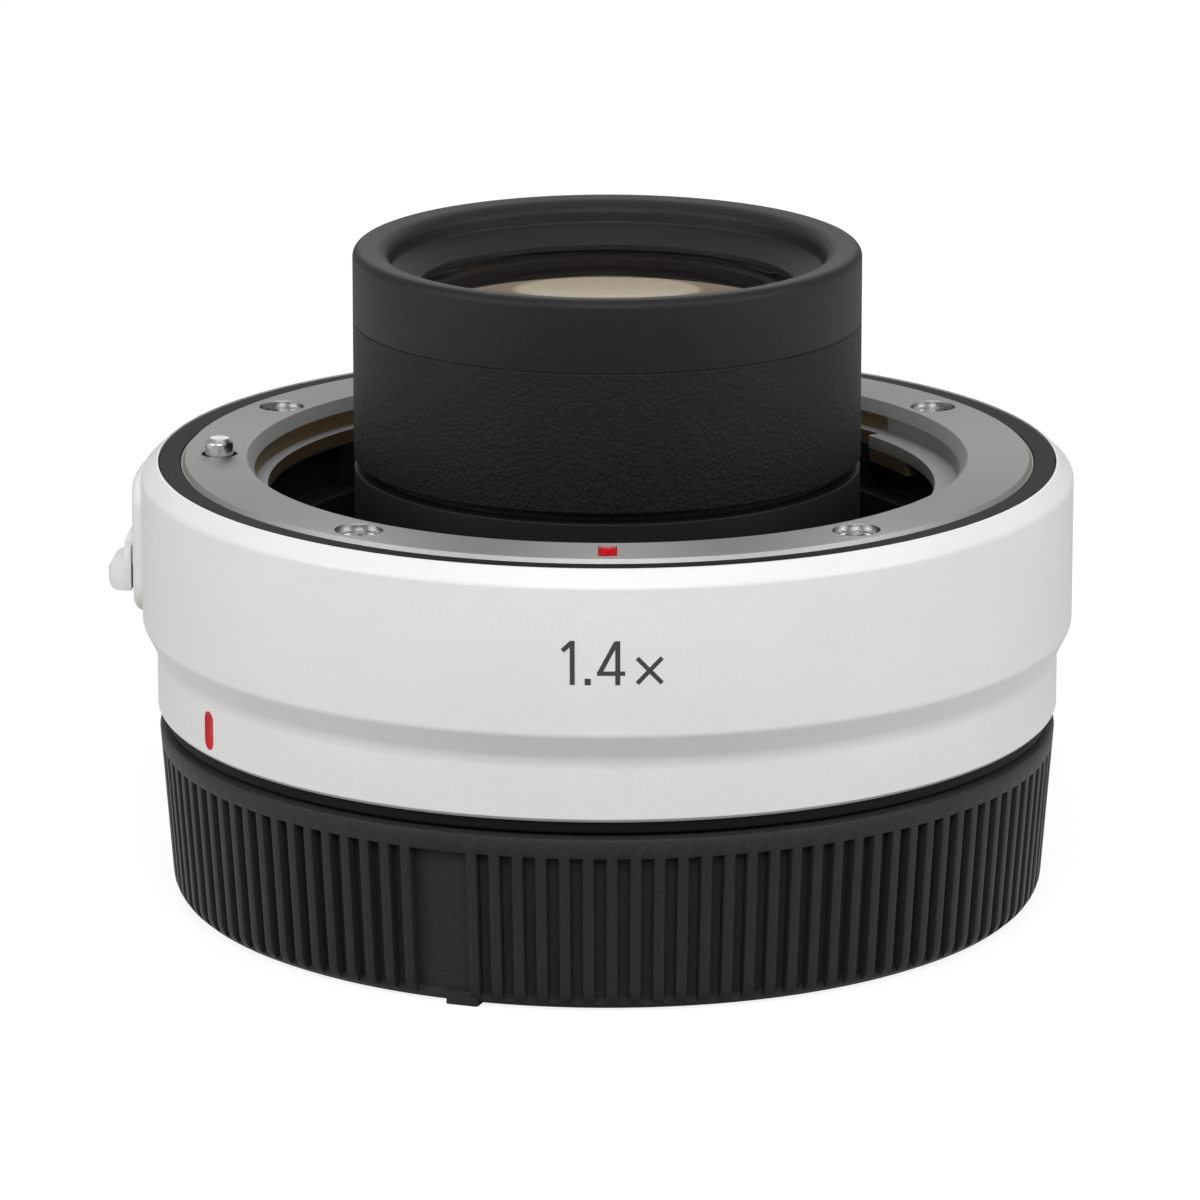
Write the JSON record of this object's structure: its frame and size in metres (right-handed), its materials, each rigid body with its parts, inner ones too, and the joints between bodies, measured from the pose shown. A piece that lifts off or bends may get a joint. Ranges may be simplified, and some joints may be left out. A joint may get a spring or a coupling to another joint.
{
  "type": "camera teleconverter",
  "caption": "Short white lens-mount teleconverter with a raised black lens barrel, steel bayonet mounts, a lock pin with a release lever, contacts and a ribbed rear cap.",
  "frame": {"origin": "centre of the rear cap's base, on the optical axis", "axes": "+Z along the optical axis towards the front mount, -Y towards the index mark on the front mount"},
  "size_m": [0.0739, 0.0712, 0.0504],
  "materials": {
    "white_paint": "fine satin white stoving paint",
    "grey_trim": "dark grey satin anodised ring",
    "mount_steel": "turned bright steel",
    "screw_steel": "bright plated screw",
    "spring_steel": "spring steel",
    "pin_steel": "polished steel pin",
    "index_red": "red enamel fill",
    "frame_black": "black moulded plastic",
    "contact_gilt": "gilt contact",
    "board_green": "printed circuit board",
    "chip_black": "moulded chip",
    "flex_amber": "amber film cable",
    "shim_brass": "thin shim",
    "seal_rubber": "soft black rubber",
    "tube_black": "black crinkle paint",
    "hood_black": "black satin paint with a fine grain",
    "ring_black": "black anodised aluminium",
    "coated_glass": "optical glass with an amber coating",
    "lever_white": "white moulded plastic",
    "carriage_grey": "grey moulded plastic",
    "cap_black": "black moulded plastic with a fine grain"
  },
  "bodies": {
    "converter": {"outer_barrel": "white_paint", "front_trim_ring": "grey_trim", "front_mount_ring": "mount_steel", "front_mount_screws": "screw_steel", "front_leaf_spring": "spring_steel", "front_index_mark": "index_red", "rear_index_mark": "index_red", "inner_frame": "frame_black", "front_contact_block": "frame_black", "front_contact_sleeves": "contact_gilt", "contact_block_screws": "screw_steel", "circuit_board": "board_green", "board_chips": "chip_black", "board_screws": "screw_steel", "front_flex_cable": "flex_amber", "rear_flex_cable": "flex_amber", "rear_contact_block": "frame_black", "rear_contact_pads": "contact_gilt", "rear_contact_screws": "screw_steel", "rear_mount_ring": "mount_steel", "rear_mount_shim": "shim_brass", "rear_mount_screws": "screw_steel", "rear_seal": "seal_rubber", "lens_tube": "tube_black", "tube_screws": "screw_steel", "hood_ring": "hood_black", "front_lens": "coated_glass", "front_spacer": "ring_black", "triplet_front": "coated_glass", "triplet_middle": "coated_glass", "triplet_rear": "coated_glass", "triplet_retainer": "ring_black", "doublet_front": "coated_glass", "doublet_rear": "coated_glass", "rear_spacer": "ring_black", "rear_lens": "coated_glass", "rear_retainer": "ring_black", "rear_baffle": "frame_black", "baffle_screws": "screw_steel", "lock_spring": "spring_steel"},
    "release": {"release_lever": "lever_white", "lever_carriage": "carriage_grey", "lever_screws": "screw_steel", "lock_pin": "pin_steel"},
    "contact_pin_set": {"contact_pins": "contact_gilt"},
    "cap": {"rear_cap": "cap_black"}
  },
  "joints": [
    {"name": "release_slide", "type": "slide", "parent": "converter", "child": "release", "axis": [0, 0, -1], "range_m": [0, 0.0016], "stiffness_N_per_m": 400, "springref_m": -0.004, "deforming": ["lock_spring"]},
    {"name": "contact_press", "type": "slide", "parent": "converter", "child": "contact_pin_set", "axis": [0, 0, -1], "range_m": [0, 0.0006], "stiffness_N_per_m": 300, "springref_m": -0.002},
    {"name": "cap_twist", "type": "hinge", "parent": "converter", "child": "cap", "pos_m": [0, 0, 0], "axis": [0, 0, 1], "range_deg": [-60, 0]}
  ]
}
